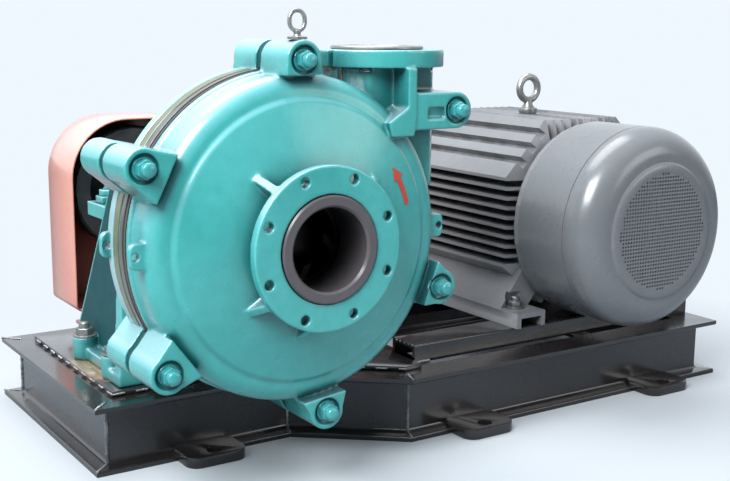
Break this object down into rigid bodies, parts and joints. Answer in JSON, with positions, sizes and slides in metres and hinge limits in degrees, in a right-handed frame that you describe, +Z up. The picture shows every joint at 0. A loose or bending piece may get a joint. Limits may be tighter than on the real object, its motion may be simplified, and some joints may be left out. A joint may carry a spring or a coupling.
{
  "type": "belt-driven slurry pump",
  "caption": "Lined centrifugal slurry pump with a round casing, side discharge neck and bearing frame, belt driven by a finned motor beside it on a welded steel skid.",
  "frame": {"origin": "on the floor, at the middle of the skid assembly's bounding box", "axes": "+Z up; the suction faces -Y and the pump's shaft lies along Y; the motor is on the +X side"},
  "size_m": [1.1821, 0.765, 0.6691],
  "materials": {
    "casing_paint": "satin teal enamel",
    "motor_paint": "silver grey hammer paint",
    "skid_paint": "worn black paint",
    "guard_paint": "red enamel",
    "liner_alloy": "bare white-iron casting",
    "bare_steel": "machined steel",
    "zinc_plate": "zinc plated",
    "belt_rubber": "matt black rubber",
    "dark_iron": "dark cast iron",
    "joint_liner": "tan seal band",
    "packing": "braided fibre",
    "fan_plastic": "moulded black"
  },
  "bodies": {
    "pump_frame": {"back_liner": "liner_alloy", "base_bolt_1": "zinc_plate", "base_bolt_2": "zinc_plate", "base_bolt_3": "zinc_plate", "base_bolt_4": "zinc_plate", "bearing_base": "casing_paint", "bearing_cover_front": "casing_paint", "bearing_cover_rear": "casing_paint", "bearing_front": "bare_steel", "bearing_housing": "casing_paint", "bearing_rear": "bare_steel", "belt_guard": "guard_paint", "casing_gasket": "joint_liner", "cover_bolt_1": "casing_paint", "cover_bolt_2": "casing_paint", "cover_bolt_3": "casing_paint", "cover_bolt_4": "casing_paint", "cover_bolt_5": "casing_paint", "cover_bolt_6": "casing_paint", "cover_plate": "casing_paint", "deck_plate": "skid_paint", "end_shield_drive": "motor_paint", "end_shield_fan": "motor_paint", "fan_cover": "motor_paint", "frame_plate": "casing_paint", "gland_follower": "dark_iron", "gland_packing": "packing", "housing_strap_front": "casing_paint", "housing_strap_rear": "casing_paint", "lifting_eye": "zinc_plate", "motor_bolt_1": "zinc_plate", "motor_bolt_2": "zinc_plate", "motor_bolt_3": "zinc_plate", "motor_bolt_4": "zinc_plate", "motor_eye_bolt": "zinc_plate", "motor_frame": "motor_paint", "motor_rail_front": "skid_paint", "motor_rail_rear": "skid_paint", "skid_beam_cross": "skid_paint", "skid_beam_diagonal": "skid_paint", "skid_beam_front_motor": "skid_paint", "skid_beam_front_pump": "skid_paint", "skid_beam_left": "skid_paint", "skid_beam_rear": "skid_paint", "skid_beam_right": "skid_paint", "stuffing_box": "casing_paint", "terminal_box": "motor_paint", "throat_bush": "liner_alloy", "v_belt_1": "belt_rubber", "v_belt_2": "belt_rubber", "v_belt_3": "belt_rubber", "volute_liner": "liner_alloy"},
    "pump_rotating_set": {"pump_shaft": "bare_steel", "impeller": "liner_alloy", "shaft_sleeve": "bare_steel", "pump_pulley": "dark_iron"},
    "motor_rotating_set": {"motor_rotor": "bare_steel", "motor_fan": "fan_plastic", "motor_pulley": "dark_iron"}
  },
  "joints": [
    {"name": "motor_shaft_turn", "type": "hinge", "parent": "pump_frame", "child": "motor_rotating_set", "pos_m": [0.34675, 0, 0.3015], "axis": [0, -1, 0], "continuous": true},
    {"name": "pump_shaft_turn", "type": "hinge", "parent": "pump_frame", "child": "pump_rotating_set", "pos_m": [-0.33995, 0, 0.352], "axis": [0, -1, 0], "continuous": true}
  ],
  "couplings": [
    {"joint": "pump_shaft_turn", "follows": "motor_shaft_turn", "ratio": 0.75}
  ]
}
